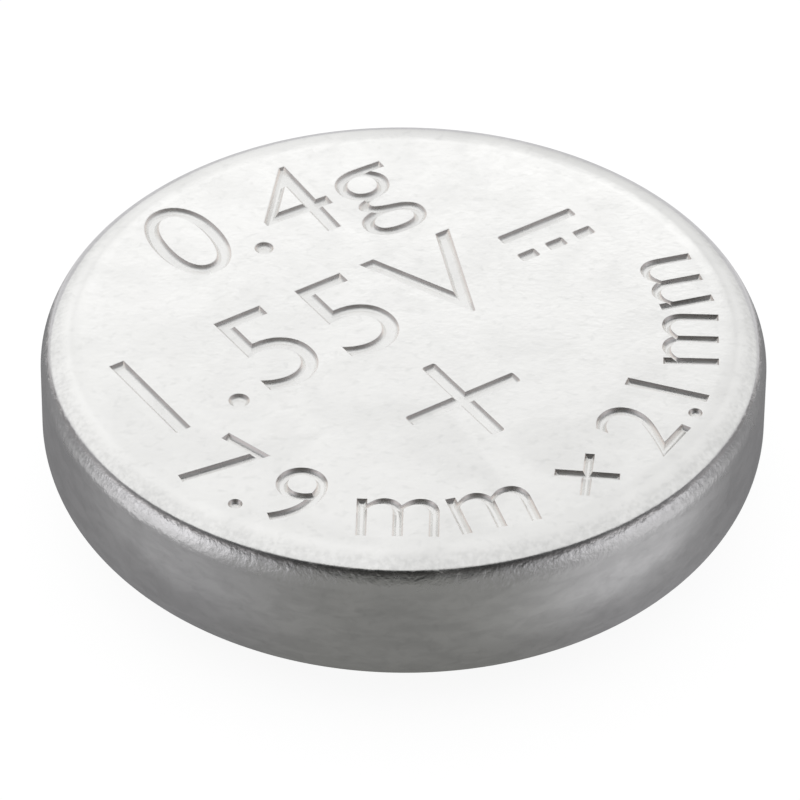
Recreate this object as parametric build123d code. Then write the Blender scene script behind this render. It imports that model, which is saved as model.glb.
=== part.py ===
"""Silver oxide button cell, 7.9 mm across and 2.1 mm high, standing on its negative cap.

Every piece is a turned section about +Z, so each one is drawn as a half section with x as the
radius and y as the height, and then spun round. The origin is the centre of the negative contact.
"""

import os

from build123d import *

# Outside of the finished cell
CELL_DIAMETER = 7.90
CELL_HEIGHT = 2.10

# Positive can: a cup drawn from nickel-plated steel sheet, its edge crimped inwards
CAN_SHEET = 0.22
CAN_CORNER_RADIUS = 0.36  # outside, from the positive face into the wall
CRIMP_RADIUS = 0.78  # outside, from the wall into the lip
CRIMP_TURN = 75.0  # degrees that the lip is rolled in from the wall
CRIMP_START_HEIGHT = 1.01  # where the straight wall ends
LIP_EDGE_BREAK = 0.03  # rounding of the trimmed edge

# Negative cap: a cup of nickel, steel and copper sheet with its rim folded back outside the wall
CAP_SHEET = 0.18
CAP_RADIUS = 3.20
CAP_CORNER_RADIUS = 0.28  # outside, from the negative contact into the wall
FOLD_GAP = 0.03  # between the wall and the leg that is folded back
FOLD_CREST_HEIGHT = 1.13
FOLD_LEG_END_HEIGHT = 0.72
CUT_EDGE_BREAK = 0.02

# Sealing gasket: a nylon ring that wraps the folded rim
GASKET_FOOT_THICKNESS = 0.14  # under the crest of the fold
GASKET_MOUTH_RADIUS = 2.97
GASKET_HOOK_ANGLE = 150.0  # how far round the fold the foot reaches
GASKET_LOW_HEIGHT = 0.40  # where the gasket meets the cap's wall
GASKET_BULGE_RADIUS = 0.16  # of the nylon squeezed out between lip and cap

# Stack between the two contacts
MEMBRANE_THICKNESS = 0.05
MEMBRANE_RADIUS = 3.70
RING_SHEET = 0.10
RING_FLANGE_RADIUS = 3.20  # inner edge of the flange
RING_LEG_HEIGHT = 0.30
RING_CORNER_RADIUS = 0.12

# Worked out from the values above
can_radius = CELL_DIAMETER / 2
can_bore_radius = can_radius - CAN_SHEET
can_inner_corner = CAN_CORNER_RADIUS - CAN_SHEET
can_floor_height = CELL_HEIGHT - CAN_SHEET
crimp_centre = Vector(can_radius - CRIMP_RADIUS, CRIMP_START_HEIGHT)
crimp_inner_radius = CRIMP_RADIUS - CAN_SHEET
cap_bore_radius = CAP_RADIUS - CAP_SHEET
cap_inner_corner = CAP_CORNER_RADIUS - CAP_SHEET
fold_leg_inner_radius = CAP_RADIUS + FOLD_GAP
fold_leg_outer_radius = fold_leg_inner_radius + CAP_SHEET
fold_bend_radius = FOLD_GAP / 2 + CAP_SHEET
fold_centre = Vector(CAP_RADIUS + FOLD_GAP / 2, FOLD_CREST_HEIGHT - fold_bend_radius)
membrane_low_height = FOLD_CREST_HEIGHT + GASKET_FOOT_THICKNESS
pellet_low_height = membrane_low_height + MEMBRANE_THICKNESS


def polar(centre, radius, angle):
    """The point at a radius and an angle in degrees from a centre, in the section's plane."""
    return centre + Vector(radius, 0).rotate(Axis.Z, angle)


def section(*edges):
    """The closed half section that these edges run round."""
    return make_face(Curve() + list(edges))


def turned(half_section):
    """The solid that a half section sweeps round the cell's axis."""
    return revolve(Plane.XZ * half_section, Axis.Z)


# Height of the gasket's hooked edge, which the absorbent and the anode meet
gasket_hook = polar(fold_centre, fold_bend_radius, GASKET_HOOK_ANGLE)


def positive_can():
    """Flat contact face, rounded corner, straight wall, and the lip crimped in over the gasket."""
    face = Line((0, CELL_HEIGHT), (can_radius - CAN_CORNER_RADIUS, CELL_HEIGHT))
    corner = JernArc(face @ 1, (1, 0), CAN_CORNER_RADIUS, -90)
    wall = Line(corner @ 1, (can_radius, CRIMP_START_HEIGHT))
    crimp = JernArc(wall @ 1, (0, -1), CRIMP_RADIUS, -CRIMP_TURN)
    inner_crimp = CenterArc(crimp_centre, crimp_inner_radius, -CRIMP_TURN, CRIMP_TURN)
    trimmed_edge = Line(crimp @ 1, inner_crimp @ 0)
    bore_top = can_floor_height - can_inner_corner
    bore = Line(inner_crimp @ 1, (can_bore_radius, bore_top))
    inner_corner = JernArc(bore @ 1, (0, 1), can_inner_corner, 90)
    floor = Line(inner_corner @ 1, (0, can_floor_height))
    axis_side = Line(floor @ 1, face @ 0)
    sheet = section(
        face, corner, wall, crimp, trimmed_edge, inner_crimp, bore, inner_corner, floor, axis_side
    )
    lip_corners = sheet.vertices().sort_by(Axis.Y)[:2]
    return turned(fillet(lip_corners, LIP_EDGE_BREAK))


def negative_cap():
    """Flat contact, rounded corner and wall, then the rim turned outwards and folded back down."""
    contact = Line((0, 0), (CAP_RADIUS - CAP_CORNER_RADIUS, 0))
    corner = JernArc(contact @ 1, (1, 0), CAP_CORNER_RADIUS, 90)
    wall = Line(corner @ 1, (CAP_RADIUS, fold_centre.Y))
    inside_bend = CenterArc(fold_centre, FOLD_GAP / 2, 180, -180)
    leg_inside = Line(inside_bend @ 1, (fold_leg_inner_radius, FOLD_LEG_END_HEIGHT))
    cut_edge = Line(leg_inside @ 1, (fold_leg_outer_radius, FOLD_LEG_END_HEIGHT))
    leg_outside = Line(cut_edge @ 1, (fold_leg_outer_radius, fold_centre.Y))
    outside_bend = CenterArc(fold_centre, fold_bend_radius, 0, 180)
    bore = Line(outside_bend @ 1, (cap_bore_radius, CAP_CORNER_RADIUS))
    inner_corner = JernArc(bore @ 1, (0, -1), cap_inner_corner, -90)
    floor = Line(inner_corner @ 1, (0, CAP_SHEET))
    axis_side = Line(floor @ 1, contact @ 0)
    sheet = section(
        contact, corner, wall, inside_bend, leg_inside, cut_edge,
        leg_outside, outside_bend, bore, inner_corner, floor, axis_side,
    )
    cut_corners = sheet.vertices().filter_by(lambda v: abs(v.Y - FOLD_LEG_END_HEIGHT) < 1e-6)
    return turned(fillet(cut_corners, CUT_EDGE_BREAK))


def sealing_gasket():
    """Nylon ring: a foot over the fold, a sleeve beside it, and a seal squeezed under the lip."""
    lip_inner_edge = polar(crimp_centre, crimp_inner_radius, -CRIMP_TURN)
    lip_middle = polar(crimp_centre, CRIMP_RADIUS - CAN_SHEET / 2, -CRIMP_TURN)
    along_cap = Line((CAP_RADIUS, GASKET_LOW_HEIGHT), (CAP_RADIUS, FOLD_LEG_END_HEIGHT))
    under_leg = Line(along_cap @ 1, (fold_leg_outer_radius, FOLD_LEG_END_HEIGHT))
    beside_leg = Line(under_leg @ 1, (fold_leg_outer_radius, fold_centre.Y))
    over_fold = CenterArc(fold_centre, fold_bend_radius, 0, GASKET_HOOK_ANGLE)
    hook = Line(over_fold @ 1, (GASKET_MOUTH_RADIUS, gasket_hook.Y))
    mouth = Line(hook @ 1, (GASKET_MOUTH_RADIUS, membrane_low_height))
    foot = Line(mouth @ 1, (can_bore_radius, membrane_low_height))
    along_can = Line(foot @ 1, (can_bore_radius, CRIMP_START_HEIGHT))
    under_crimp = CenterArc(crimp_centre, crimp_inner_radius, 0, -CRIMP_TURN)
    at_lip = Line(lip_inner_edge, lip_middle)
    bulge = RadiusArc(lip_middle, along_cap @ 0, GASKET_BULGE_RADIUS)
    return turned(section(
        along_cap, under_leg, beside_leg, over_fold, hook, mouth,
        foot, along_can, under_crimp, at_lip, bulge,
    ))


def cathode_pellet():
    """Pressed silver oxide disc that fills the floor of the can, rebated round the support ring."""
    ring_leg_bore = can_bore_radius - RING_SHEET
    ring_top = pellet_low_height + RING_LEG_HEIGHT
    flange_top = pellet_low_height + RING_SHEET
    low_face = Line((0, pellet_low_height), (RING_FLANGE_RADIUS, pellet_low_height))
    flange_end = Line(low_face @ 1, (RING_FLANGE_RADIUS, flange_top))
    over_flange = Line(flange_end @ 1, (ring_leg_bore, flange_top))
    inside_leg = Line(over_flange @ 1, (ring_leg_bore, ring_top))
    over_leg = Line(inside_leg @ 1, (can_bore_radius, ring_top))
    side = Line(over_leg @ 1, (can_bore_radius, can_floor_height - can_inner_corner))
    corner = JernArc(side @ 1, (0, 1), can_inner_corner, 90)
    top_face = Line(corner @ 1, (0, can_floor_height))
    axis_side = Line(top_face @ 1, low_face @ 0)
    return turned(section(
        low_face, flange_end, over_flange, inside_leg, over_leg, side, corner, top_face, axis_side
    ))


def support_ring():
    """L-section steel ring that stiffens the pellet's edge where the gasket's foot presses."""
    ring_leg_bore = can_bore_radius - RING_SHEET
    ring_top = pellet_low_height + RING_LEG_HEIGHT
    flange_top = pellet_low_height + RING_SHEET
    flange_outer = can_bore_radius - RING_CORNER_RADIUS
    flange_face = Line((RING_FLANGE_RADIUS, pellet_low_height), (flange_outer, pellet_low_height))
    corner = JernArc(flange_face @ 1, (1, 0), RING_CORNER_RADIUS, 90)
    leg_outside = Line(corner @ 1, (can_bore_radius, ring_top))
    leg_end = Line(leg_outside @ 1, (ring_leg_bore, ring_top))
    leg_inside = Line(leg_end @ 1, (ring_leg_bore, flange_top))
    over_flange = Line(leg_inside @ 1, (RING_FLANGE_RADIUS, flange_top))
    flange_end = Line(over_flange @ 1, flange_face @ 0)
    return turned(section(
        flange_face, corner, leg_outside, leg_end, leg_inside, over_flange, flange_end
    ))


def disc(radius, low_height, high_height):
    """A flat round layer of the stack, centred on the axis."""
    layer = Cylinder(radius, high_height - low_height, align=(Align.CENTER, Align.CENTER, Align.MIN))
    return Pos(0, 0, low_height) * layer


def barrier_membrane():
    """Cellophane disc across the whole bore, nipped between the gasket's foot and the ring."""
    return disc(MEMBRANE_RADIUS, membrane_low_height, pellet_low_height)


def absorbent_separator():
    """Felt disc that holds the electrolyte, inside the gasket's mouth."""
    return disc(GASKET_MOUTH_RADIUS, gasket_hook.Y, membrane_low_height)


def zinc_anode():
    """Zinc powder gel that fills the cap up to the absorbent."""
    gel = disc(cap_bore_radius, CAP_SHEET, gasket_hook.Y)
    low_edge = gel.edges().filter_by(GeomType.CIRCLE).sort_by(Axis.Z)[0]
    return fillet(low_edge, cap_inner_corner)


PIECES = [
    positive_can,
    negative_cap,
    sealing_gasket,
    cathode_pellet,
    support_ring,
    barrier_membrane,
    absorbent_separator,
    zinc_anode,
]

os.makedirs("parts", exist_ok=True)
for piece in PIECES:
    solid = piece()
    export_step(solid, f"parts/{piece.__name__}.step")
    print(f"{piece.__name__}: {solid.volume:.2f} mm3")
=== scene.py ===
# %% [markdown]
# # A silver oxide button cell
# The cell is 7.9 mm across, so it is smaller than a fingernail. Its construction is already fixed
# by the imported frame, and this lesson gives it its looks: the metal that was drawn, stamped,
# tumbled and crimped, and the light of a small product tent.

# %% Load the frame
import math

import bmesh
import bpy
from mathutils import Matrix, Vector


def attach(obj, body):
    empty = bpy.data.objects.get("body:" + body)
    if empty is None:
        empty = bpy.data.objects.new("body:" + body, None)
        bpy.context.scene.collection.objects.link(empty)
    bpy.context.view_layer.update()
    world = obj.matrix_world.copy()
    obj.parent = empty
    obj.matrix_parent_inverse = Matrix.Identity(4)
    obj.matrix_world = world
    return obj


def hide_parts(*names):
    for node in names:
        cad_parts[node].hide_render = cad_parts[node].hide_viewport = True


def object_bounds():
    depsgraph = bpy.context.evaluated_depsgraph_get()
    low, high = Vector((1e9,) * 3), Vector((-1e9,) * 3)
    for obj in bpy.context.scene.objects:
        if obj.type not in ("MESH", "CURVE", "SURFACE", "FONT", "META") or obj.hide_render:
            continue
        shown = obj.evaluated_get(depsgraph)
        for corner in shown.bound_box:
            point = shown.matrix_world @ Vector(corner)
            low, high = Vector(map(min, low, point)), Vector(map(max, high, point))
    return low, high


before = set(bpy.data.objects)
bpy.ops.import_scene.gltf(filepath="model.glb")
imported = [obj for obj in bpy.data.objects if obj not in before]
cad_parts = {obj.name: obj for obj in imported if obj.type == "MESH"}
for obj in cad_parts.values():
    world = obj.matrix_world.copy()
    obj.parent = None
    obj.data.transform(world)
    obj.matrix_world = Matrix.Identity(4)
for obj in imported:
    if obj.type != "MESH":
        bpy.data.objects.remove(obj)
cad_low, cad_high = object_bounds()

METRES_PER_MM = 0.001
cell_radius = round((cad_high.x - cad_low.x) / 2 / METRES_PER_MM, 2)
cell_height = round(cad_high.z / METRES_PER_MM, 2)
print("cell radius", cell_radius, "mm, height", cell_height, "mm")

# %% [markdown]
# ## Camera
# A long lens from a little distance keeps the face an almost true ellipse. The aim is a point
# just in front of the axis, low in the cell, so that the face sits above the picture's middle.

# %% Camera
LOOK_DOWN = 38.56  # degrees above the horizon
CAMERA_DISTANCE = 75.5  # mm from the middle of the positive face
PICTURE_WIDTH = 8.688  # mm across, at the face
TILT = 0.44  # degrees that the camera leans
AIM = Vector((-0.0355, -0.457, 1.527))  # mm

look_down = math.radians(LOOK_DOWN)
face_middle = Vector((0, 0, cell_height))
camera_place = face_middle + CAMERA_DISTANCE * Vector((0, -math.cos(look_down), math.sin(look_down)))
lens_data = bpy.data.cameras.new("camera")
lens_data.sensor_width = 36
lens_data.lens = lens_data.sensor_width * CAMERA_DISTANCE / PICTURE_WIDTH
lens_data.clip_start = 0.001
lens_data.clip_end = 5
camera = bpy.data.objects.new("camera", lens_data)
bpy.context.scene.collection.objects.link(camera)
bpy.context.scene.camera = camera
camera.location = camera_place * METRES_PER_MM
facing = (AIM - camera_place).to_track_quat("-Z", "Y").to_matrix()
camera.rotation_euler = (facing @ Matrix.Rotation(math.radians(TILT), 3, "Z")).to_euler()
bpy.context.scene.view_settings.view_transform = "Standard"
print("lens", round(lens_data.lens), "mm")

# %% [markdown]
# ## Working in millimetres
# Blender's tools merge points that are closer than a tenth of a millimetre, which would eat the
# edges of so small a thing. Every piece is therefore modelled a thousand times larger, with one
# unit for a millimetre, and brought down to its real size when it is done.

# %% Helpers to hold, finish and name a piece
SHARP_ANGLE = 35  # degrees between two faces, from which their edge is shaded sharp


def let_go():
    """Nothing is selected, so that the next operator acts on its own piece alone."""
    if bpy.context.object and bpy.context.object.mode != "OBJECT":
        bpy.ops.object.mode_set(mode="OBJECT")
    bpy.ops.object.select_all(action="DESELECT")


def take(piece):
    """Only this piece is selected and active."""
    let_go()
    piece.select_set(True)
    bpy.context.view_layer.objects.active = piece


def pick(kind, wanted):
    """In edit mode, selects only the points or the edges that a test of their points accepts."""
    bpy.ops.mesh.select_all(action="DESELECT")
    bpy.ops.mesh.select_mode(type=kind)
    mesh = bmesh.from_edit_mesh(bpy.context.object.data)
    for point in mesh.verts if kind == "VERT" else ():
        point.select_set(wanted(point.co))
    for edge in mesh.edges if kind == "EDGE" else ():
        edge.select_set(all(wanted(point.co) for point in edge.verts))
    mesh.select_flush_mode()


def finish_piece(piece, node):
    """Brings a piece down to real size, smooths its shading and lets it stand for its CAD node."""
    take(piece)
    piece.scale = (METRES_PER_MM,) * 3
    bpy.ops.object.transform_apply(location=True, rotation=True, scale=True)
    bpy.ops.object.shade_smooth_by_angle(angle=math.radians(SHARP_ANGLE))
    bpy.ops.object.modifier_add(type="WEIGHTED_NORMAL")
    piece.modifiers[-1].keep_sharp = True
    piece.modifiers[-1].weight = 100
    bpy.ops.object.modifier_apply(modifier=piece.modifiers[-1].name)
    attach(piece, "root")
    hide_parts(node)
    triangles = sum(len(face.vertices) - 2 for face in piece.data.polygons)
    sizes = ", ".join(f"{side / METRES_PER_MM:.3f}" for side in piece.dimensions)
    print(f"{piece.name}: {triangles} triangles, {sizes} mm")


# %% [markdown]
# ## Turned pieces
# The can, the cap and the gasket are all turned shapes. Each is drawn like a lathe section: one
# vertex is put down, pulled along the straight runs and spun round the centres of the arcs, and
# the finished line is spun once round the cell's axis.

# %% Helpers to draw a section and turn it
TURN_STEPS = 288
MERGE_WITHIN = 1e-4  # mm


def start_at(radius, height):
    """One vertex at this radius and height, left in edit mode."""
    let_go()
    bpy.ops.mesh.primitive_plane_add(size=1, location=(0, 0, 0))
    bpy.ops.object.mode_set(mode="EDIT")
    bpy.ops.mesh.select_mode(type="VERT")
    bpy.ops.mesh.merge(type="CENTER")
    bpy.ops.transform.translate(value=(radius, 0, height))


def pen():
    """Where the section's free end is."""
    points = bmesh.from_edit_mesh(bpy.context.object.data).verts
    return next(point.co.copy() for point in points if point.select)


def run_to(radius, height):
    """A straight run from the free end."""
    here = pen()
    step = (radius - here.x, 0, height - here.z)
    bpy.ops.mesh.extrude_region_move(TRANSFORM_OT_translate={"value": step})


def bend_round(centre, degrees, steps):
    """An arc about a centre. A positive turn leads from the face over the corner to the wall."""
    turn_by = -math.radians(degrees)
    bpy.ops.mesh.spin(steps=steps, angle=turn_by, center=centre, axis=(0, 1, 0))


def turn(name):
    """Spins the closed section round the axis, and closes the seam and the poles."""
    bpy.ops.mesh.select_all(action="SELECT")
    bpy.ops.mesh.spin(steps=TURN_STEPS, angle=2 * math.pi, center=(0, 0, 0), axis=(0, 0, 1))
    bpy.ops.mesh.select_all(action="SELECT")
    bpy.ops.mesh.remove_doubles(threshold=MERGE_WITHIN)
    bpy.ops.mesh.normals_make_consistent(inside=False)
    bpy.ops.mesh.select_all(action="DESELECT")
    bpy.ops.object.mode_set(mode="OBJECT")
    piece = bpy.context.object
    piece.name = name
    piece.data.name = name
    return piece


def round_off(piece, offset, *places):
    """Bevels the turned edges that run through these (radius, height) places."""
    take(piece)
    bpy.ops.object.mode_set(mode="EDIT")
    for place in places:
        pick("EDGE", lambda point: math.dist((point.xy.length, point.z), place) < 5 * MERGE_WITHIN)
        bpy.ops.mesh.bevel(offset=offset, segments=4, affect="EDGES")
    bpy.ops.object.mode_set(mode="OBJECT")


def toward(centre, point, radius):
    """The place at this distance from a centre, in the direction of a point."""
    return centre + (point - centre).normalized() * radius


# %% [markdown]
# ## The can
# The can is the big cup. Its section starts at the middle of the positive face, goes over the
# corner, down the wall and round the crimp, and comes back along the inside of the sheet, so the
# piece is a closed sheet of metal and its trimmed lip shows its real thickness from below. The
# corner gets the most steps, because its reflections change most from one degree to the next.

# %% The can, turned
CAN_SHEET = 0.22
CORNER_RADIUS = 0.36
CRIMP_RADIUS = 0.78
CRIMP_TURN = 75.0
CRIMP_START = 1.01
LIP_EDGE = 0.03
FACE_FIELD = 3.56  # radius of the stamped field

corner_centre = Vector((cell_radius - CORNER_RADIUS, 0, cell_height - CORNER_RADIUS))
crimp_centre = Vector((cell_radius - CRIMP_RADIUS, 0, CRIMP_START))

start_at(0, cell_height)
run_to(FACE_FIELD, cell_height)
run_to(corner_centre.x, cell_height)
bend_round(corner_centre, 90, 24)
run_to(cell_radius, (corner_centre.z + CRIMP_START) / 2)
run_to(cell_radius, CRIMP_START)
bend_round(crimp_centre, CRIMP_TURN, 24)
lip_outside = pen()
lip_inside = toward(crimp_centre, lip_outside, CRIMP_RADIUS - CAN_SHEET)
run_to(lip_inside.x, lip_inside.z)
bend_round(crimp_centre, -CRIMP_TURN, 16)
run_to(cell_radius - CAN_SHEET, corner_centre.z)
bend_round(corner_centre, -90, 6)
run_to(0, cell_height - CAN_SHEET)
can = turn("stamped_can")
round_off(can, LIP_EDGE, (lip_outside.x, lip_outside.z), (lip_inside.x, lip_inside.z))

# %% [markdown]
# The spin leaves a fan of long triangles in the middle of the face. Dissolving the middle vertex
# turns the fan into one flat face, which takes the stamped marks without a seam.

# %% One flat face for the marks
take(can)
bpy.ops.object.mode_set(mode="EDIT")
pick("VERT", lambda point: (point - face_middle).length < MERGE_WITHIN)
bpy.ops.mesh.dissolve_verts()
bpy.ops.object.mode_set(mode="OBJECT")
print("can:", len(can.data.polygons), "faces before stamping")

# %% [markdown]
# ## The stamped marks
# The marks are pressed into the sheet by a steel punch. The sheet is drawn in a little round the
# mark, falls steeply, and rounds into a flat floor. A solid of the punch's shape is made for each
# mark and cut out of the can. Letters are Blender's own text, bars are flat curves, and both get
# the same bevel, whose profile is the drawn-in edge, the steep wall and the rounded floor.

# %% Helpers for the punch
STAMP_DEPTH = 0.055  # from the face to the floor of a mark
STAMP_RUN = 0.055  # that the wall of a large mark takes sideways
# The wall's points from the edge to the floor, as shares of its run and of its depth.
WALL_PROFILE = ((0.93, 0.02), (0.86, 0.09), (0.46, 0.57), (0.20, 0.84), (0.07, 0.945))
WALL_STEPS = 11
LETTER_STEPS = 10
BAR_ROUNDING = 0.2  # of a bar's corners, as a share of its width
PUNCH_STRAIGHT = 0.03  # half of the part that stands out of the sheet
SINK = 0.0005  # that a punch goes deeper, so that none of its edges lies in the face

punches = []


def shape_punch(outline, run=STAMP_RUN):
    """Gives a text or a flat curve the section of a punch, and makes it a mesh."""
    take(outline)
    outline.data.extrude = PUNCH_STRAIGHT
    outline.data.offset = -run
    outline.data.bevel_depth = run
    outline.data.bevel_resolution = WALL_STEPS
    outline.data.bevel_mode = "PROFILE"
    for place in WALL_PROFILE:
        outline.data.bevel_profile.points.add(*place)
    for point in outline.data.bevel_profile.points:
        point.handle_type_1 = "VECTOR"
        point.handle_type_2 = "VECTOR"
    outline.data.bevel_profile.update()
    bpy.ops.object.convert(target="MESH")
    punch = bpy.context.object
    punch.scale = (1, 1, STAMP_DEPTH / run)
    bpy.ops.object.transform_apply(location=True, rotation=True, scale=True)
    bpy.ops.object.mode_set(mode="EDIT")
    bpy.ops.mesh.select_all(action="SELECT")
    bpy.ops.mesh.remove_doubles(threshold=MERGE_WITHIN)
    bpy.ops.mesh.normals_make_consistent(inside=False)
    bpy.ops.object.mode_set(mode="OBJECT")
    return punch


def text_punch(words, size, run=STAMP_RUN, spacing=1.0):
    """A punch of letters, centred on the middle of the line."""
    let_go()
    bpy.ops.object.text_add(location=(0, 0, 0))
    text = bpy.context.object
    text.data.body = words
    text.data.size = size
    text.data.space_character = spacing
    text.data.resolution_u = LETTER_STEPS
    punch = shape_punch(text, run)
    corners = [Vector(corner) for corner in punch.bound_box]
    punch.data.transform(Matrix.Translation(-(corners[0] + corners[6]) / 2))
    return punch


def bar_punch(length, width, cross_length=0.0):
    """A punch for a straight bar with rounded corners, or for a cross of two such bars."""
    let_go()
    bpy.ops.mesh.primitive_plane_add(size=width, location=(0, 0, 0))
    bpy.ops.object.mode_set(mode="EDIT")
    for way, reach in ((Vector((1, 0, 0)), length), (Vector((0, 1, 0)), cross_length)):
        for outward in (way, -way):
            if reach > width:
                pick("EDGE", lambda point: point.dot(outward) > 0.9 * point.cross(outward).length)
                step = outward * (reach - width) / 2
                bpy.ops.mesh.extrude_region_move(TRANSFORM_OT_translate={"value": step})
    bpy.ops.mesh.select_all(action="SELECT")
    bpy.ops.mesh.dissolve_faces()
    pick("VERT", lambda point: max(abs(point.x), abs(point.y)) > 0.6 * width)
    bpy.ops.mesh.bevel(offset=BAR_ROUNDING * width, segments=4, affect="VERTICES")
    bpy.ops.mesh.select_all(action="SELECT")
    bpy.ops.mesh.delete(type="ONLY_FACE")
    bpy.ops.object.mode_set(mode="OBJECT")
    bpy.ops.object.convert(target="CURVE")
    bpy.context.object.data.dimensions = "2D"
    bpy.context.object.data.fill_mode = "BOTH"
    return shape_punch(bpy.context.object)


def place_punch(punch, turn_degrees, place):
    """Turns a finished punch and sets it over a place on the face."""
    take(punch)
    height = cell_height - STAMP_DEPTH - SINK - punch.bound_box[0][2]
    punch.rotation_euler = (0, 0, math.radians(turn_degrees))
    punch.location = (place.x, place.y, height)
    bpy.ops.object.transform_apply(location=True, rotation=True, scale=True)
    punches.append(punch)


# %% [markdown]
# The marks are the plain data of such a cell. They read along a line that is turned about a third
# of a right angle from the camera. The voltage runs across the middle, with the sign for direct
# current after it, the plus sign stands under it and the weight over it.

# %% Helper for a place along the reading direction
READING_TURN = 34.1  # degrees
reading = Vector((math.cos(math.radians(READING_TURN)), math.sin(math.radians(READING_TURN))))
upward = Vector((-reading.y, reading.x))


def face_place(along, up):
    """A place on the face, measured along the reading direction and upwards from the middle."""
    return reading * along + upward * up


# %% The voltage and its sign
VOLTAGE_SIZE = 2.0
VOLTAGE_SPACING = 1.05
STROKE = 0.155  # width of a stroke of the large marks
LINE_MIDDLE = (-0.105, 0.578)  # of the voltage and its sign, along and up
SIGN_LENGTH = 0.98
SIGN_GAP = 0.34
SIGN_RISE = 0.19  # of the bar over the middle of the line, and of the dashes under it
DASH_LENGTH = 0.24

voltage = text_punch("1.55V", VOLTAGE_SIZE, spacing=VOLTAGE_SPACING)
voltage_width = voltage.dimensions.x
line_width = voltage_width + SIGN_GAP + SIGN_LENGTH
print("line", round(line_width, 2), "mm long,", round(voltage.dimensions.y, 2), "mm high")
voltage_along = LINE_MIDDLE[0] - line_width / 2 + voltage_width / 2
place_punch(voltage, READING_TURN, face_place(voltage_along, LINE_MIDDLE[1]))
sign_along = LINE_MIDDLE[0] + line_width / 2 - SIGN_LENGTH / 2
bar = bar_punch(SIGN_LENGTH, STROKE)
place_punch(bar, READING_TURN, face_place(sign_along, LINE_MIDDLE[1] + SIGN_RISE))
for step in (-1, 0, 1):
    along = sign_along + step * (SIGN_LENGTH - DASH_LENGTH) / 2
    dash = bar_punch(DASH_LENGTH, STROKE)
    place_punch(dash, READING_TURN, face_place(along, LINE_MIDDLE[1] - SIGN_RISE))

# %% The plus sign and the weight
PLUS_STROKE = 0.18
PLUS_LENGTHS = (1.41, 1.37)  # of its bar along and its bar across
PLUS_PLACE = (-0.10, -1.295)  # along and up
WEIGHT_SIZE = 1.85
WEIGHT_TURN = 31.0  # degrees
WEIGHT_PLACE = Vector((-1.36, 1.98))

plus = bar_punch(PLUS_LENGTHS[0], PLUS_STROKE, PLUS_LENGTHS[1])
place_punch(plus, READING_TURN, face_place(*PLUS_PLACE))
weight = text_punch("0.4g", WEIGHT_SIZE)
print("weight", [round(side, 2) for side in weight.dimensions.xy], "mm")
place_punch(weight, WEIGHT_TURN, WEIGHT_PLACE)

# %% [markdown]
# The size of the cell runs round the edge. Each character is measured, because an m takes far
# more room than a point, and gets its share of the arc with its foot towards the rim.

# %% The size, letter by letter round the edge
ARC_WORDS = "7.9 mm × 2.1 mm"
ARC_SIZE = 1.36
ARC_RUN = 0.045  # of the wall, because the strokes of the small letters are narrower
ARC_RADIUS = 2.99  # of the letters' middle
ARC_START = -136.0  # degrees
ARC_END = 26.0
SPACE_WIDTH = 0.20


def letter_height(letter):
    """How far a letter's middle stands above the line, as a share of the capital height."""
    return {".": -0.44, "m": -0.13, "×": -0.10}.get(letter, 0.0)


letters = [None if name == " " else text_punch(name, ARC_SIZE, ARC_RUN) for name in ARC_WORDS]
widths = [letter.dimensions.x if letter else SPACE_WIDTH for letter in letters]
print("widths", [round(width, 2) for width in widths])
capital = letters[0].dimensions.y
arc_length = math.radians(ARC_END - ARC_START) * ARC_RADIUS
gap = (arc_length - sum(widths)) / (len(letters) - 1)
print("capital height", round(capital, 3), "mm, gap between letters", round(gap, 3), "mm")
along_arc = 0.0
for letter, width, name in zip(letters, widths, ARC_WORDS):
    if letter:
        angle = ARC_START + math.degrees((along_arc + width / 2) / ARC_RADIUS)
        radius = ARC_RADIUS - letter_height(name) * capital
        place = radius * Vector((math.cos(math.radians(angle)), math.sin(math.radians(angle))))
        place_punch(letter, angle + 90, place)
    along_arc += width + gap

# %% [markdown]
# All punches are joined and cut out in one stroke. The exact solver is slow, but it keeps the thin
# walls clean. What the cut leaves of points that lie on each other is taken away.

# %% Press the marks into the can
print(len(punches), "punches")
take(punches[0])
for punch in punches:
    punch.select_set(True)
bpy.ops.object.join()
punch_set = bpy.context.object
take(can)
bpy.ops.object.modifier_add(type="BOOLEAN")
cut = can.modifiers[-1]
cut.operation = "DIFFERENCE"
cut.solver = "EXACT"
cut.use_self = True
cut.object = punch_set
bpy.ops.object.modifier_apply(modifier=cut.name)
bpy.data.objects.remove(punch_set)
bpy.ops.object.mode_set(mode="EDIT")
bpy.ops.mesh.select_all(action="SELECT")
bpy.ops.mesh.dissolve_degenerate(threshold=MERGE_WITHIN)
finish_piece(can, "positive_can")

# %% [markdown]
# ## The cap
# The cap is the smaller cup that the cell stands on. Its section starts at the middle of the
# negative contact, turns up into the wall, folds back over itself so that its cut edge hides in
# the gasket, and comes home along the inside of the sheet.

# %% The cap, turned
CAP_RADIUS = 3.20
CAP_SHEET = 0.18
CAP_CORNER = 0.28
FOLD_GAP = 0.03
FOLD_HEIGHT = 0.935
LEG_END = 0.72
LEG_EDGE = 0.02

cap_corner = Vector((CAP_RADIUS - CAP_CORNER, 0, CAP_CORNER))
fold_centre = Vector((CAP_RADIUS + FOLD_GAP / 2, 0, FOLD_HEIGHT))
fold_reach = CAP_SHEET + FOLD_GAP / 2
leg_inside = CAP_RADIUS + FOLD_GAP
leg_outside = leg_inside + CAP_SHEET

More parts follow.
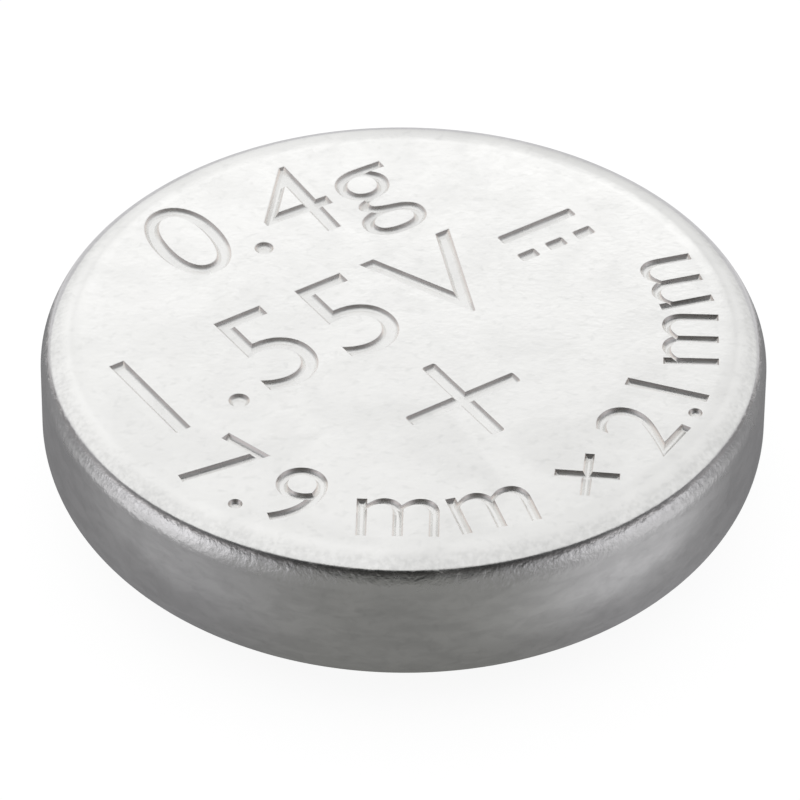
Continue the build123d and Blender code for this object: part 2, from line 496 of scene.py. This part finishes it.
start_at(0, 0)
run_to(cap_corner.x, 0)
bend_round(cap_corner, -90, 16)
run_to(CAP_RADIUS, FOLD_HEIGHT)
bend_round(fold_centre, 180, 6)
run_to(leg_inside, LEG_END)
run_to(leg_outside, LEG_END)
run_to(leg_outside, FOLD_HEIGHT)
bend_round(fold_centre, -180, 16)
run_to(CAP_RADIUS - CAP_SHEET, CAP_CORNER)
bend_round(cap_corner, 90, 8)
run_to(0, CAP_SHEET)
cap = turn("folded_cap")
round_off(cap, LEG_EDGE, (leg_inside, LEG_END), (leg_outside, LEG_END))
finish_piece(cap, "negative_cap")

# %% [markdown]
# ## The gasket
# The nylon ring lies between the two cups. Its section follows the cap up under the folded leg,
# over the fold and down into the cap's mouth, and comes back along the can to the crimped lip.
# Where the lip has squeezed it, it bulges out a little, which is the ring that shows from below.

# %% The gasket, turned
GASKET_LOW = 0.40
GASKET_TOP = 1.27
HOOK_RADIUS = 2.97
FOLD_WRAP = 150.0  # degrees
BULGE_RADIUS = 0.16

lip_middle = toward(crimp_centre, lip_outside, CRIMP_RADIUS - CAN_SHEET / 2)
hook_start = Matrix.Rotation(-math.radians(FOLD_WRAP), 3, "Y") @ Vector((fold_reach, 0, 0)) + fold_centre

start_at(CAP_RADIUS, GASKET_LOW)
run_to(CAP_RADIUS, LEG_END)
run_to(leg_outside, LEG_END)
run_to(leg_outside, FOLD_HEIGHT)
bend_round(fold_centre, -FOLD_WRAP, 14)
run_to(HOOK_RADIUS, hook_start.z)
run_to(HOOK_RADIUS, GASKET_TOP)
run_to(cell_radius - CAN_SHEET, GASKET_TOP)
run_to(cell_radius - CAN_SHEET, CRIMP_START)
bend_round(crimp_centre, CRIMP_TURN, 16)
run_to(lip_middle.x, lip_middle.z)
chord = Vector((CAP_RADIUS, 0, GASKET_LOW)) - lip_middle
bulge_rise = math.sqrt(BULGE_RADIUS**2 - chord.length_squared / 4)
bulge_centre = lip_middle + chord / 2 + Vector((0, 1, 0)).cross(chord.normalized()) * bulge_rise
bulge_turn = 2 * math.degrees(math.asin(chord.length / 2 / BULGE_RADIUS))
bend_round(bulge_centre, bulge_turn, 10)
gasket = turn("crimped_gasket")
finish_piece(gasket, "sealing_gasket")

# %% [markdown]
# ## Materials
# Every surface gets its finish from patterns that are worked out, not from pictures. The patterns
# are laid in millimetres, like the modelling. An effect that several materials share is a node
# group with named inputs and outputs, built once, and each material gives it its own fineness.

# %% Helpers for nodes
def feed(tree, socket, value):
    """Links a socket, or sets it to a plain value, or leaves it alone."""
    if isinstance(value, bpy.types.NodeSocket):
        tree.links.new(value, socket)
    elif value is not None:
        socket.default_value = value


def node(tree, kind, *values, **settings):
    """Adds a node, with its settings, and feeds its first sockets with links or plain values."""
    made = tree.nodes.new("ShaderNode" + kind)
    for name, setting in settings.items():
        setattr(made, name, setting)
    for socket, value in zip(made.inputs, values):
        feed(tree, socket, value)
    return made


def maths(tree, operation, *values):
    """The result of a Math node."""
    return node(tree, "Math", *values, operation=operation).outputs[0]


def rise(tree, value, start, end):
    """0 before the start and 1 after the end, with a soft step between them."""
    return node(tree, "MapRange", value, start, end, interpolation_type="SMOOTHSTEP").outputs[0]


def between(tree, share, low, high):
    """A value on the way from low to high, by a share from 0 to 1."""
    return maths(tree, "MULTIPLY_ADD", share, high - low, low)


def stretched(tree, place, along):
    """The same place, with each direction made so many times finer."""
    return node(tree, "VectorMath", place, along, operation="MULTIPLY").outputs[0]


def noise(tree, place, per_mm, detail=2.0, distortion=0.0):
    """A noise pattern with so many lumps to the millimetre, from 0 to 1."""
    made = node(tree, "TexNoise", place)
    made.inputs["Scale"].default_value = per_mm
    made.inputs["Detail"].default_value = detail
    made.inputs["Distortion"].default_value = distortion
    return made.outputs[0]


def mix_colours(tree, share, first, second):
    """From the first colour to the second, by a share from 0 to 1."""
    made = node(tree, "Mix", share, data_type="RGBA")
    for socket, colour in zip(made.inputs[6:8], (first, second)):
        feed(tree, socket, (*colour, 1) if isinstance(colour, tuple) else colour)
    return made.outputs[2]


def new_group(name, outputs):
    """A group that takes a place and a fineness: it, the finer place and the sockets to feed."""
    group = bpy.data.node_groups.new(name, "ShaderNodeTree")
    group.interface.new_socket("Place", in_out="INPUT", socket_type="NodeSocketVector")
    group.interface.new_socket("Fineness", in_out="INPUT", socket_type="NodeSocketFloat")
    for output in outputs:
        group.interface.new_socket(output, in_out="OUTPUT", socket_type="NodeSocketFloat")
    given = group.nodes.new("NodeGroupInput").outputs
    finer = node(group, "VectorMath", given["Place"], operation="SCALE")
    feed(group, finer.inputs["Scale"], given["Fineness"])
    return group, finer.outputs[0], group.nodes.new("NodeGroupOutput").inputs


# %% [markdown]
# ### The skin of tumbled metal
# Plated cups are tumbled together in thousands, so their skin is covered with tiny soft dents and
# finer pits. The height is even about zero, so that a material can let it fade without a step.

# %% Group for the skin of tumbled metal
tumbled_skin, place, made = new_group("tumbled_skin", ("Height", "Dullness"))
dents = maths(tumbled_skin, "SUBTRACT", noise(tumbled_skin, place, 10.0, 3.0), 0.5)
pits = maths(tumbled_skin, "SUBTRACT", noise(tumbled_skin, place, 27.0, 2.0), 0.5)
feed(tumbled_skin, made["Height"], maths(tumbled_skin, "MULTIPLY_ADD", pits, 0.40, dents))
blurred = noise(tumbled_skin, place, 3.5, 3.0, 0.6)
feed(tumbled_skin, made["Dullness"], rise(tumbled_skin, blurred, 0.35, 0.7))

# %% [markdown]
# ### Cloudy colour
# Plate, nylon and film are never quite even. Broad soft clouds vary their colour a little, and
# small specks sit between them.

# %% Group for cloudy colour
cloudy, place, made = new_group("cloudy", ("Cloud", "Specks"))
feed(cloudy, made["Cloud"], rise(cloudy, noise(cloudy, place, 0.8, 4.0, 1.2), 0.34, 0.68))
feed(cloudy, made["Specks"], rise(cloudy, noise(cloudy, place, 9.0, 3.0, 0.4), 0.52, 0.74))

# %% [markdown]
# ### Pressed grains
# Powder shows packed grains, each with its own tone.

# %% Group for pressed grains
grains, place, made = new_group("grains", ("Height", "Tone"))
cells = node(grains, "TexVoronoi", place)
cells.inputs["Scale"].default_value = 14.0
feed(grains, made["Height"], maths(grains, "SUBTRACT", 0.5, cells.outputs["Distance"]))
feed(grains, made["Tone"], node(grains, "SeparateColor", cells.outputs["Color"]).outputs[0])


# %% Helpers for a material
def start_material(name):
    """An empty finish: itself, its tree, its shader's sockets and the place in millimetres."""
    material = bpy.data.materials.new(name)
    material.use_nodes = True
    tree = material.node_tree
    scaled = node(tree, "VectorMath", node(tree, "TexCoord").outputs["Object"], operation="SCALE")
    scaled.inputs["Scale"].default_value = 1 / METRES_PER_MM
    return material, tree, tree.nodes["Principled BSDF"].inputs, scaled.outputs[0]


def use_group(tree, group, place, fineness):
    """Places a shared group in a material, with that material's own fineness."""
    made = tree.nodes.new("ShaderNodeGroup")
    made.node_tree = group
    feed(tree, made.inputs["Place"], place)
    feed(tree, made.inputs["Fineness"], fineness)
    return made.outputs


def raise_bumps(tree, shader, height, microns):
    """Feeds a height pattern to the shader's normal, so many thousandths of a millimetre high."""
    bump = node(tree, "Bump")
    bump.inputs["Distance"].default_value = microns * 1e-6
    feed(tree, bump.inputs["Height"], height)
    feed(tree, shader["Normal"], bump.outputs[0])


def dress(piece, material):
    """Gives a piece or a CAD node this material alone."""
    piece.data.materials.clear()
    piece.data.materials.append(material)
    print(piece.name, "wears", material.name)


# %% [markdown]
# ### The can's nickel
# The punch has flattened the face, so it stays smooth, with a few smudges and specks. Its last
# quarter of a millimetre was never flattened: it leans outwards by less than a hundredth, so
# that no line shows where the corner begins, and then turns frosted. The corner
# keeps an orange peel, deeper than anywhere else, which mottles its reflections. The
# wall was drawn through a ring and is smooth, with faint streaks round it. Tumbling doesn't reach
# into the marks, so they stay dull. The upper walls of the marks and a thin band just under the
# rim are darkened to a brownish grey, which is painted shade.

# %% Values of the can's nickel
NICKEL = (0.895, 0.893, 0.88)
WORN_NICKEL = (0.70, 0.70, 0.69)
# colour of the painted shade on the walls of the marks and in the band under the rim
PAINTED_SHADE_BROWN = (0.85, 0.805, 0.775)
CLOUD_SHADE = 0.30  # shares of the worn colour, here and in the next three lines
SPECK_SHADE = 0.24
FROST_SHADE = 0.66
STREAK_SHADE = 0.42
FACE_ROUGHNESS = 0.11
WALL_ROUGHNESS = 0.18
MARK_DULLNESS = 0.15  # added to the roughness in the marks
PEEL_TOP = 1.990  # height where the peel of the corner begins, coming down from the face
PEEL_LOW = 1.72  # height where the wall is smooth again
PEEL_HEIGHT = 10.0  # thousandths of a millimetre
SMOOTH_SKIN = 0.06  # share of the peel's height on the face and the wall
ROLL = (3.45, 3.76)  # radii between which the face leans over into the corner
ROLL_DROP = 8.0  # thousandths of a millimetre
FROST = (3.64, 3.78)  # radii between which the frosting begins

# %% Where on the can a place lies

tumbled_nickel, tree, shader, place = start_material("tumbled_nickel")
height = node(tree, "SeparateXYZ", place).outputs["Z"]
radius = node(tree, "VectorMath", stretched(tree, place, (1, 1, 0)), operation="LENGTH").outputs["Value"]
under_face = maths(tree, "SUBTRACT", 1.0, rise(tree, height, PEEL_TOP - 0.06, PEEL_TOP))
peel = maths(tree, "MULTIPLY", under_face, rise(tree, height, PEEL_LOW - 0.04, PEEL_LOW + 0.04))
# a thin band on the corner just under the rim, which takes painted shade
under_rim_shade = maths(tree, "MULTIPLY", under_face, rise(tree, height, PEEL_TOP - 0.05, PEEL_TOP - 0.02))
above_wall = rise(tree, height, PEEL_TOP, PEEL_TOP + 0.01)
on_wall = maths(tree, "SUBTRACT", 1.0, rise(tree, height, PEEL_LOW, PEEL_LOW + 0.06))
inner = maths(tree, "SUBTRACT", 1.0, rise(tree, radius, 3.50, 3.58))
sunk = maths(tree, "SUBTRACT", cell_height, height)
marked = maths(tree, "MULTIPLY", inner, rise(tree, sunk, 0.002, 0.010))

# %% The can's colour
cloud = use_group(tree, cloudy, place, 1.0)
frost = maths(tree, "MULTIPLY", rise(tree, radius, *FROST), above_wall)
frost_grain = rise(tree, noise(tree, place, 16.0, 5.0), 0.30, 0.70)
frosted = maths(tree, "MULTIPLY", frost, between(tree, frost_grain, 0.3, 1.0))
streaks = rise(tree, noise(tree, stretched(tree, place, (3.0, 3.0, 7.0)), 1.0, 5.0, 0.5), 0.36, 0.66)
shade = maths(tree, "MULTIPLY", cloud["Specks"], SPECK_SHADE)
shade = maths(tree, "MULTIPLY_ADD", cloud["Cloud"], CLOUD_SHADE, shade)
shade = maths(tree, "MULTIPLY_ADD", frosted, FROST_SHADE, shade)
shade = maths(tree, "MULTIPLY_ADD", maths(tree, "MULTIPLY", on_wall, streaks), STREAK_SHADE, shade)
plate = mix_colours(tree, shade, NICKEL, WORN_NICKEL)
# Painted shade: the upper walls of the marks and the band under the rim are darkened to a brownish grey
painted_shade = maths(tree, "MULTIPLY", marked, maths(tree, "SUBTRACT", 1.0, rise(tree, sunk, 0.018, 0.034)))
painted_shade = maths(tree, "MAXIMUM", painted_shade, under_rim_shade)
feed(tree, shader["Base Color"], mix_colours(tree, painted_shade, plate, PAINTED_SHADE_BROWN))

# %% The can's roughness and relief
skin = use_group(tree, tumbled_skin, place, 1.0)
dull = maths(tree, "MULTIPLY", skin["Dullness"], between(tree, peel, 0.04, 0.10))
satin = between(tree, maths(tree, "MAXIMUM", on_wall, peel), FACE_ROUGHNESS, WALL_ROUGHNESS)
rough = maths(tree, "MULTIPLY_ADD", marked, MARK_DULLNESS, maths(tree, "ADD", dull, satin))
feed(tree, shader["Roughness"], rough)
shader["Metallic"].default_value = 1
bumps = maths(tree, "MULTIPLY", skin["Height"], between(tree, peel, SMOOTH_SKIN, 1.0))
bumps = maths(tree, "MULTIPLY_ADD", rise(tree, radius, *ROLL), -ROLL_DROP / PEEL_HEIGHT, bumps)
raise_bumps(tree, shader, bumps, PEEL_HEIGHT)
dress(can, tumbled_nickel)

# %% [markdown]
# ### The cap's nickel
# The cap is drawn from sheet that is plated before it is drawn, and isn't stamped. It is a little
# warmer and duller than the can, with the same tumbled skin, only finer and shallower.

# %% The cap's nickel
cap_plate, tree, shader, place = start_material("cap_plate")
skin = use_group(tree, tumbled_skin, place, 1.4)
cloud = use_group(tree, cloudy, place, 1.2)
shade = maths(tree, "MULTIPLY_ADD", cloud["Specks"], 0.35, maths(tree, "MULTIPLY", cloud["Cloud"], 0.5))
feed(tree, shader["Base Color"], mix_colours(tree, shade, (0.83, 0.815, 0.78), (0.70, 0.685, 0.65)))
feed(tree, shader["Roughness"], between(tree, skin["Dullness"], 0.20, 0.32))
shader["Metallic"].default_value = 1
raise_bumps(tree, shader, skin["Height"], 1.6)
dress(cap, cap_plate)

# %% [markdown]
# ### The gasket's nylon
# Natural nylon is milky and a little yellow. Light goes a short way into it, which softens its
# edges, and its skin is waxy rather than glossy.

# %% The gasket's nylon
natural_nylon, tree, shader, place = start_material("natural_nylon")
cloud = use_group(tree, cloudy, place, 1.6)
shade = maths(tree, "MULTIPLY_ADD", cloud["Specks"], 0.3, maths(tree, "MULTIPLY", cloud["Cloud"], 0.6))
feed(tree, shader["Base Color"], mix_colours(tree, shade, (0.80, 0.78, 0.70), (0.72, 0.69, 0.59)))
feed(tree, shader["Roughness"], between(tree, cloud["Cloud"], 0.38, 0.52))
shader["Subsurface Weight"].default_value = 0.25
shader["Subsurface Scale"].default_value = 0.15 * METRES_PER_MM
raise_bumps(tree, shader, noise(tree, place, 14.0, 2.0), 1.2)
dress(gasket, natural_nylon)

# %% [markdown]
# ### Inside the cell
# The inner stack is dressed too, for whoever takes the cell apart: black pressed oxide, a plain
# steel ring, damp cellophane, wet felt and grey zinc in gel.

# %% The pellet's pressed oxide and the anode's zinc
def powder(name, light, dark, fineness, rough, microns):
    """A pressed powder between two tones, with the roughness of its grains and the gaps."""
    material, tree, shader, place = start_material(name)
    grain = use_group(tree, grains, place, fineness)
    feed(tree, shader["Base Color"], mix_colours(tree, grain["Tone"], light, dark))
    feed(tree, shader["Roughness"], between(tree, grain["Tone"], *rough))
    raise_bumps(tree, shader, grain["Height"], microns)
    return material, tree, shader, grain


OXIDE = ((0.075, 0.072, 0.067), (0.035, 0.034, 0.032))  # light and dark grains
ZINC = ((0.42, 0.43, 0.45), (0.26, 0.27, 0.28))

pressed_oxide = powder("pressed_oxide", *OXIDE, 1.5, (0.72, 0.92), 6.0)[0]
dress(bpy.data.objects["cathode_pellet"], pressed_oxide)
zinc_in_gel, tree, shader, grain = powder("zinc_in_gel", *ZINC, 0.8, (0.30, 0.55), 14.0)
feed(tree, shader["Metallic"], between(tree, grain["Tone"], 0.3, 0.8))
feed(tree, shader["Coat Weight"], between(tree, grain["Tone"], 0.7, 0.3))
dress(bpy.data.objects["zinc_anode"], zinc_in_gel)

# %% The ring, the film and the felt
def sheet_goods(name, light, dark, fineness, rough, microns, metallic=0.0):
    """A cloudy sheet between two tones, with a fine skin."""
    material, tree, shader, place = start_material(name)
    cloud = use_group(tree, cloudy, place, fineness)
    shade = maths(tree, "MULTIPLY_ADD", cloud["Specks"], 0.5, maths(tree, "MULTIPLY", cloud["Cloud"], 0.5))
    feed(tree, shader["Base Color"], mix_colours(tree, shade, light, dark))
    feed(tree, shader["Roughness"], between(tree, cloud["Cloud"], *rough))
    shader["Metallic"].default_value = metallic
    skin = use_group(tree, tumbled_skin, place, fineness)
    raise_bumps(tree, shader, skin["Height"], microns)
    return material


ring_plate = sheet_goods("ring_plate", (0.70, 0.70, 0.69), (0.58, 0.58, 0.57), 1.5, (0.28, 0.40), 1.5, 1.0)
dress(bpy.data.objects["support_ring"], ring_plate)
damp_film = sheet_goods("damp_film", (0.66, 0.60, 0.46), (0.55, 0.48, 0.34), 1.0, (0.22, 0.40), 1.0)
dress(bpy.data.objects["barrier_membrane"], damp_film)
wet_felt = sheet_goods("wet_felt", (0.88, 0.87, 0.83), (0.74, 0.73, 0.69), 2.0, (0.70, 0.90), 12.0)
dress(bpy.data.objects["absorbent_separator"], wet_felt)

# %% [markdown]
# ## The studio
# The cell lies on white paper in a light tent. The tent is painted on the world: everything above
# its hem is white. The hem is high in front, where the camera looks in, and sinks behind the
# cell. Below it the room is dark in front and paler at the sides, where two white cards stand.

# %% Helpers for a painted room
def side_lobe(tree, angle, middle, width, left_share, right_share, sideways):
    """A soft hump about an angle on each side, with its own height left and right."""
    off = maths(tree, "DIVIDE", maths(tree, "SUBTRACT", angle, middle), width)
    hump = maths(tree, "EXPONENT", maths(tree, "MULTIPLY", maths(tree, "MULTIPLY", off, off), -1.0))
    on_right = maths(tree, "GREATER_THAN", sideways, 0.0)
    share = maths(tree, "MULTIPLY_ADD", on_right, right_share - left_share, left_share)
    return maths(tree, "MULTIPLY", hump, share)


def round_from_front(tree, place):
    """Degrees from the front, 0 to 180 on either side, and how far to the right a place lies."""
    split = node(tree, "SeparateXYZ", place)
    across = maths(tree, "ABSOLUTE", split.outputs["X"])
    ahead = maths(tree, "MULTIPLY", split.outputs["Y"], -1.0)
    angle = maths(tree, "DEGREES", maths(tree, "ARCTAN2", across, ahead))
    return angle, split.outputs["X"], split.outputs["Z"]


def room_tint(tree, angle):
    """The room is a little warm in front and a little cool at the sides."""
    return mix_colours(tree, rise(tree, angle, 10.0, 45.0), (1.0, 1.0, 0.965), (0.99, 0.98, 1.015))


# %% Values of the tent
HEM_FRONT = 47.9  # degrees above the horizon, in front
HEM_DROP = 19.5  # degrees lower at the sides
HEM_POWER = 1.5
SIDE_DROP = 4.0  # lower again past the sides, where the hem is also soft
SIDE_SOFTNESS = 4.0
ROOM_LEVEL = 0.19
GAP_LEVEL = 0.12  # share of the room's level just under the hem, in front
GAP_LEVEL_BEHIND = 0.9
TENT_LEVEL = 0.945
TENT_LEAN = 0.052  # brighter on the left, darker on the right
BACK_LEAN = 0.01  # the same once more, on the back of the tent
BACK_DIP = 0.04  # darker on the back of the tent
BACK_GLOW = (0.22, 0.40)  # a bright line across the back, left and right
BACK_FLANKS = 0.06  # brighter on either side of the middle of the back
BACK_FALL = 0.10  # darker towards its foot
CARD_ANGLE = 72.0  # degrees from the front
CARD_WIDTH = 28.0
CARD_LEFT = 0.74
CARD_RIGHT = 0.57

# %% The hem of the tent, and the room below it
world = bpy.data.worlds.new("tent")
bpy.context.scene.world = world
world.use_nodes = True
tree = world.node_tree
direction = node(tree, "TexCoord").outputs["Generated"]
angle, sideways, upright = round_from_front(tree, direction)
elevation = maths(tree, "DEGREES", maths(tree, "ARCSINE", upright))
turned_away = maths(tree, "SUBTRACT", 1.0, maths(tree, "COSINE", maths(tree, "RADIANS", angle)))
drop = maths(tree, "MULTIPLY", maths(tree, "POWER", turned_away, HEM_POWER), HEM_DROP)
drop = maths(tree, "MULTIPLY_ADD", rise(tree, angle, 105.0, 130.0), SIDE_DROP, drop)
below = maths(tree, "SUBTRACT", maths(tree, "SUBTRACT", HEM_FRONT, drop), elevation)
lobe = side_lobe(tree, angle, CARD_ANGLE, CARD_WIDTH, CARD_LEFT, CARD_RIGHT, sideways)
full_room = maths(tree, "ADD", lobe, ROOM_LEVEL)
ramp_start = maths(tree, "MULTIPLY_ADD", angle, -0.05, 8.0)
ramp_end = maths(tree, "MULTIPLY_ADD", angle, -0.30, 48.0)
ramp = rise(tree, below, ramp_start, ramp_end)
gap = between(tree, rise(tree, angle, 80.0, 115.0), GAP_LEVEL, GAP_LEVEL_BEHIND)
lit = maths(tree, "MULTIPLY_ADD", ramp, maths(tree, "SUBTRACT", 1.0, gap), gap)
room = maths(tree, "MULTIPLY", full_room, lit)

# %% The tent's cloth, with the line of light across its back
rightward = rise(tree, sideways, -0.07, 0.07)
leaning = between(tree, rightward, TENT_LEVEL + TENT_LEAN, TENT_LEVEL - TENT_LEAN)
behind = rise(tree, angle, 120.0, 150.0)
back = maths(tree, "MULTIPLY", behind, maths(tree, "SUBTRACT", 1.0, rise(tree, elevation, 41.0, 45.0)))
line = maths(tree, "SUBTRACT", rise(tree, elevation, 33.0, 36.0), rise(tree, elevation, 36.8, 39.0))
line = maths(tree, "MULTIPLY", line, rise(tree, angle, 171.0, 176.0))
change = maths(tree, "MULTIPLY", line, between(tree, rightward, *BACK_GLOW))
change = maths(tree, "ADD", change, between(tree, rightward, BACK_LEAN, -BACK_LEAN))
change = maths(tree, "ADD", change, between(tree, rise(tree, angle, 158.0, 172.0), BACK_FLANKS, 0.0))
change = maths(tree, "ADD", change, between(tree, rise(tree, elevation, -5.0, 30.0), -BACK_FALL, 0.0))
change = maths(tree, "SUBTRACT", change, BACK_DIP)
tent = maths(tree, "MULTIPLY_ADD", back, change, leaning)

# %% Room and tent put together on the world
softness = between(tree, rise(tree, angle, 95.0, 120.0), 1.5, 1.5 + SIDE_SOFTNESS)
inside = rise(tree, below, maths(tree, "MULTIPLY", softness, -1.0), softness)
kept = maths(tree, "MULTIPLY", maths(tree, "SUBTRACT", 1.0, inside), tent)
level = maths(tree, "MULTIPLY_ADD", inside, room, kept)
level = maths(tree, "MAXIMUM", level, node(tree, "LightPath").outputs["Is Camera Ray"])
feed(tree, tree.nodes["Background"].inputs["Strength"], level)
tint = mix_colours(tree, inside, (1, 1, 1), room_tint(tree, angle))
feed(tree, tree.nodes["Background"].inputs["Color"], tint)
print("the tent's hem hangs", HEM_FRONT, "degrees up in front,", HEM_FRONT - HEM_DROP, "at the sides")

# %% [markdown]
# ## The paper
# The paper is white to the camera and keeps the cell's shadow. What the metal mirrors of the
# table is painted light and shade: greyer, darkest in front, paler towards the two cards and behind, with
# a painted shadow of the cell and a painted glow.

# %% The sheet
PAPER_SIZE = 0.6  # m
PAPER_SINK = 5e-6  # m under the cell, so that no faces are level

let_go()
bpy.ops.mesh.primitive_plane_add(size=PAPER_SIZE, location=(0, 0, -PAPER_SINK))
floor = bpy.context.object
floor.name = "floor"

# %% What the metal mirrors of the table
# Painted light and shade for the metal's reflections: pools of light towards the two cards, a painted
# shadow of the cell beside it, a band of light past that shadow, and a paler stretch behind
TABLE_NEAR = (0.17, 0.41)  # left and right, beside the cell
TABLE_FAR = (0.60, 0.46)  # left and right, a cell's width away
TABLE_LEVEL = 0.27
TABLE_BEHIND = 0.50
FAR_START = (0.0060, 0.0082)  # m from the axis, between which near becomes far
SHADOW_END = (0.00498, 0.00522)
SHADOW_LEVEL = 0.25
FADE_START = (0.00535, 0.00595)
FADE_LEVEL = 0.70

paper = bpy.data.materials.new("paper")
paper.use_nodes = True
tree = paper.node_tree
tree.nodes.remove(tree.nodes["Principled BSDF"])
place = node(tree, "TexCoord").outputs["Object"]
angle, sideways, upright = round_from_front(tree, place)
distance = node(tree, "VectorMath", place, operation="LENGTH").outputs["Value"]
far = rise(tree, distance, *FAR_START)
near_lobe = side_lobe(tree, angle, 52.0, 24.0, *TABLE_NEAR, sideways)
shadow = between(tree, rise(tree, distance, *SHADOW_END), SHADOW_LEVEL, 1.0)
fading = between(tree, rise(tree, distance, *FADE_START), 1.0, FADE_LEVEL)
near_lobe = maths(tree, "MULTIPLY", near_lobe, maths(tree, "MULTIPLY", shadow, fading))
far_lobe = side_lobe(tree, angle, 66.0, 24.0, *TABLE_FAR, sideways)
near = maths(tree, "SUBTRACT", 1.0, far)
lobes = maths(tree, "MULTIPLY_ADD", far_lobe, far, maths(tree, "MULTIPLY", near_lobe, near))
close_behind = rise(tree, angle, 125.0, 137.0)
far_behind = maths(tree, "MULTIPLY", rise(tree, angle, 112.0, 140.0), rise(tree, distance, 0.009, 0.025))
behind = maths(tree, "MAXIMUM", close_behind, far_behind)
table = maths(tree, "MULTIPLY_ADD", behind, TABLE_BEHIND, maths(tree, "ADD", lobes, TABLE_LEVEL))

# %% White to the camera, grey to the metal
PAPER_COLOUR = 0.14
PAPER_GLOW = 0.92
TABLE_COLOUR = 0.30  # shares of what is mirrored
TABLE_GLOW = 0.64

path = node(tree, "LightPath").outputs
white = maths(tree, "SUBTRACT", 1.0, path["Is Glossy Ray"])
mirrored = maths(tree, "MULTIPLY", path["Is Glossy Ray"], table)
colour = maths(tree, "MULTIPLY", white, PAPER_COLOUR)
colour = maths(tree, "MULTIPLY_ADD", mirrored, TABLE_COLOUR, colour)
sheet = node(tree, "BsdfDiffuse", colour)
# A painted glow: the paper gives off this table tone to glossy rays, though it is no lamp
glow = maths(tree, "MULTIPLY", mirrored, TABLE_GLOW)
glow = maths(tree, "MULTIPLY_ADD", path["Is Camera Ray"], PAPER_GLOW, glow)
tint = mix_colours(tree, path["Is Glossy Ray"], (1, 1, 1), room_tint(tree, angle))
lift = node(tree, "Emission", tint, glow)
both = node(tree, "AddShader", sheet.outputs[0], lift.outputs[0])
tree.links.new(both.outputs[0], tree.nodes["Material Output"].inputs["Surface"])
floor.data.materials.append(paper)
print("paper", PAPER_SIZE, "m wide,", round(PAPER_SINK / METRES_PER_MM, 3), "mm under the cell")
